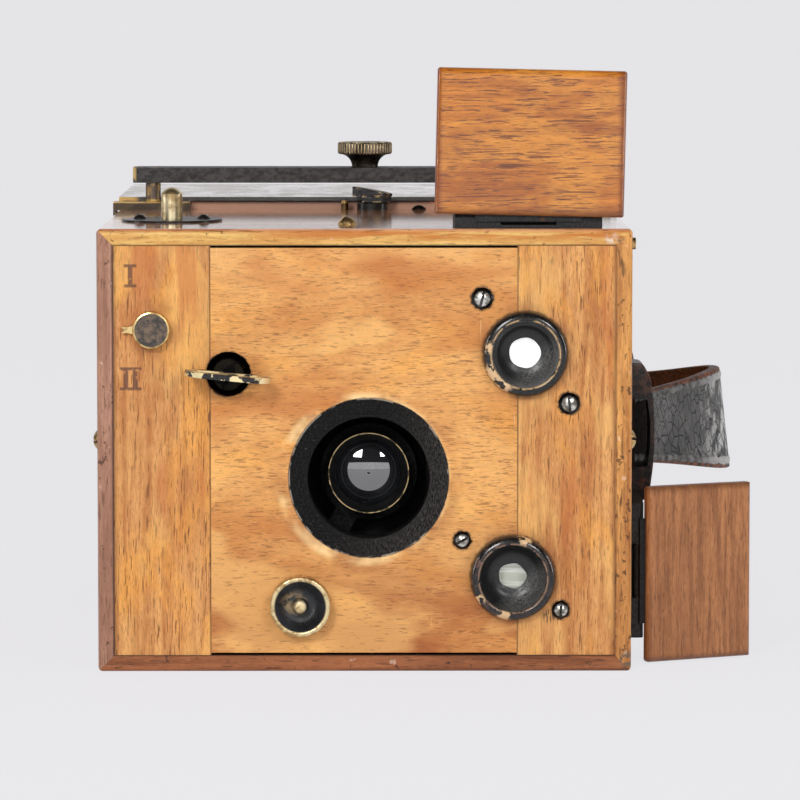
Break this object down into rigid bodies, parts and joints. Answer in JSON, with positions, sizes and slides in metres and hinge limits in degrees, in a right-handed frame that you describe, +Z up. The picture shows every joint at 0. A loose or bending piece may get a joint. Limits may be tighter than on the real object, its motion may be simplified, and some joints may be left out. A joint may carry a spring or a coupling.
{
  "type": "box camera with reflecting finders",
  "caption": "Wooden detective box camera with two reflecting finders under hinged lids, a wound shutter, screw focusing, a plate magazine with sliding cover and a leather handle.",
  "frame": {"origin": "Mouth of the tripod bush, in the middle of the underside.", "axes": "The front faces -Y, +X is to the right of someone who looks at the front, +Z is up."},
  "size_m": [0.2009, 0.2466, 0.1811],
  "materials": {
    "walnut_wall": "worn oiled walnut",
    "right_wall_wood": "worn varnished wood",
    "top_wall_wood": "worn varnished wood",
    "bottom_wall_wood": "worn varnished wood",
    "front_wood": "varnished mahogany",
    "stile_wood": "varnished mahogany",
    "inner_wood": "plain wood",
    "rim_wood": "dark stained wood",
    "top_lid_wood": "worn varnished wood",
    "side_lid_wood": "worn varnished wood",
    "matt_black": "matt black",
    "black_lacquer": "black lacquer worn to brass",
    "dark_bronze": "darkened brass",
    "brass": "tarnished brass",
    "steel": "dull steel",
    "spring_steel": "blued steel",
    "clear_glass": "clear",
    "ground_glass": "ground",
    "plate_glass": "coated plate",
    "silvered_mirror": "silvered",
    "keeper_leather": "black leather with worn edges",
    "strap_leather": "cracked grey-black leather"
  },
  "bodies": {
    "case": {"left_wall": "walnut_wall", "right_wall": "right_wall_wood", "top_wall": "top_wall_wood", "bottom_wall": "bottom_wall_wood", "left_stile": "stile_wood", "front_board": "front_wood", "right_stile": "stile_wood", "back_panel": "front_wood", "lens_ring": "matt_black", "upper_finder_bezel": "black_lacquer", "lower_finder_bezel": "black_lacquer", "finder_lenses": "clear_glass", "top_finder_box": "matt_black", "side_finder_box": "matt_black", "finder_mirrors": "silvered_mirror", "ground_glasses": "ground_glass", "top_finder_base": "black_lacquer", "side_finder_base": "black_lacquer", "steel_pins": "steel", "wood_screws": "steel", "brass_screws": "brass", "lens_board": "inner_wood", "lens_sleeve": "brass", "shutter_plate": "matt_black", "image_frame": "inner_wood", "magazine_cheeks": "inner_wood", "plate_sheaths": "matt_black", "glass_plates": "plate_glass", "magazine_rim": "rim_wood", "bridge_shoes": "brass", "button_escutcheon": "black_lacquer", "turn_base": "black_lacquer", "handle_keepers": "keeper_leather", "handle_strap": "strap_leather", "tripod_bush": "brass", "latch_spring": "spring_steel"},
    "top_lid": {"top_finder_lid": "top_lid_wood", "top_lid_leaf": "brass"},
    "side_lid": {"side_finder_lid": "side_lid_wood", "side_lid_leaf": "brass"},
    "winder": {"winding_key": "black_lacquer", "winding_arbor": "steel", "mainspring": "spring_steel"},
    "click": {"click_pawl": "steel"},
    "shutter": {"spring_drum": "brass", "shutter_blade": "matt_black"},
    "button": {"release_button": "brass"},
    "latch": {"release_latch": "steel"},
    "speed_selector": {"selector": "brass"},
    "focus_screw": {"focus_knob": "brass"},
    "lens": {"lens_barrel": "brass", "lens_elements": "clear_glass", "lens_stop": "matt_black", "focus_arm": "brass"},
    "cover_lock": {"turn_button": "black_lacquer"},
    "clamp_bar": {"bridge_bar": "dark_bronze"},
    "clamp_screw": {"thumbscrew": "dark_bronze"},
    "sliding_cover": {"magazine_cover": "dark_bronze"},
    "pressure_pad": {"pressure_board": "inner_wood", "pressure_springs": "spring_steel"}
  },
  "joints": [
    {"name": "top_lid_hinge", "type": "hinge", "parent": "case", "child": "top_lid", "pos_m": [0.0493, -0.1104, 0.1359], "axis": [-1, 0, 0], "range_deg": [0, 90]},
    {"name": "side_lid_hinge", "type": "hinge", "parent": "case", "child": "side_lid", "pos_m": [0.0829, -0.0974, 0.0285], "axis": [0, 0, 1], "range_deg": [-30, 64]},
    {"name": "key_turn", "type": "hinge", "parent": "case", "child": "winder", "pos_m": [-0.0407, -0.11, 0.0896], "axis": [0, 1, 0], "range_deg": [0, 540]},
    {"name": "click_turn", "type": "hinge", "parent": "case", "child": "click", "pos_m": [-0.0277, -0.0833, 0.0956], "axis": [0, 1, 0], "range_deg": [0, 12]},
    {"name": "shutter_swing", "type": "hinge", "parent": "case", "child": "shutter", "pos_m": [-0.0407, -0.07, 0.0896], "axis": [0, 1, 0], "range_deg": [0, 45]},
    {"name": "release_push", "type": "slide", "parent": "case", "child": "button", "axis": [0, 0, -1], "range_m": [0, 0.003], "stiffness_N_per_m": 400, "springref_m": -0.0005, "deforming": ["latch_spring"]},
    {"name": "latch_turn", "type": "hinge", "parent": "case", "child": "latch", "pos_m": [-0.0676, -0.065, 0.092], "axis": [0, 1, 0], "range_deg": [0, 25]},
    {"name": "selector_turn", "type": "hinge", "parent": "case", "child": "speed_selector", "pos_m": [-0.0636, -0.11, 0.1029], "axis": [0, 1, 0], "range_deg": [-70, 70]},
    {"name": "focus_turn", "type": "hinge", "parent": "case", "child": "focus_screw", "pos_m": [-0.0193, -0.11, 0.0202], "axis": [0, 1, 0], "range_deg": [0, 300]},
    {"name": "lens_slide", "type": "slide", "parent": "case", "child": "lens", "axis": [0, -1, 0], "range_m": [0, 0.004]},
    {"name": "turn_button_turn", "type": "hinge", "parent": "case", "child": "cover_lock", "pos_m": [0.0024, 0.007, 0.135], "axis": [0, 0, -1], "range_deg": [0, 82]},
    {"name": "bar_swing", "type": "hinge", "parent": "case", "child": "clamp_bar", "pos_m": [-0.0683, 0.0075, 0.144], "axis": [0, 0, 1], "range_deg": [0, 90]},
    {"name": "thumbscrew_turn", "type": "hinge", "parent": "clamp_bar", "child": "clamp_screw", "pos_m": [0, 0.015, 0.146], "axis": [0, 0, 1], "continuous": true},
    {"name": "cover_slide", "type": "slide", "parent": "case", "child": "sliding_cover", "axis": [0, 1, 0], "range_m": [0, 0.062]},
    {"name": "pressure_push", "type": "slide", "parent": "case", "child": "pressure_pad", "axis": [0, 1, 0], "range_m": [0, 0.004], "stiffness_N_per_m": 500, "springref_m": -0.002, "deforming": ["pressure_springs"]}
  ],
  "couplings": [
    {"joint": "latch_turn", "follows": "release_push", "rad_per_m": 145.4},
    {"joint": "focus_turn", "follows": "lens_slide", "rad_per_m": 1309}
  ]
}
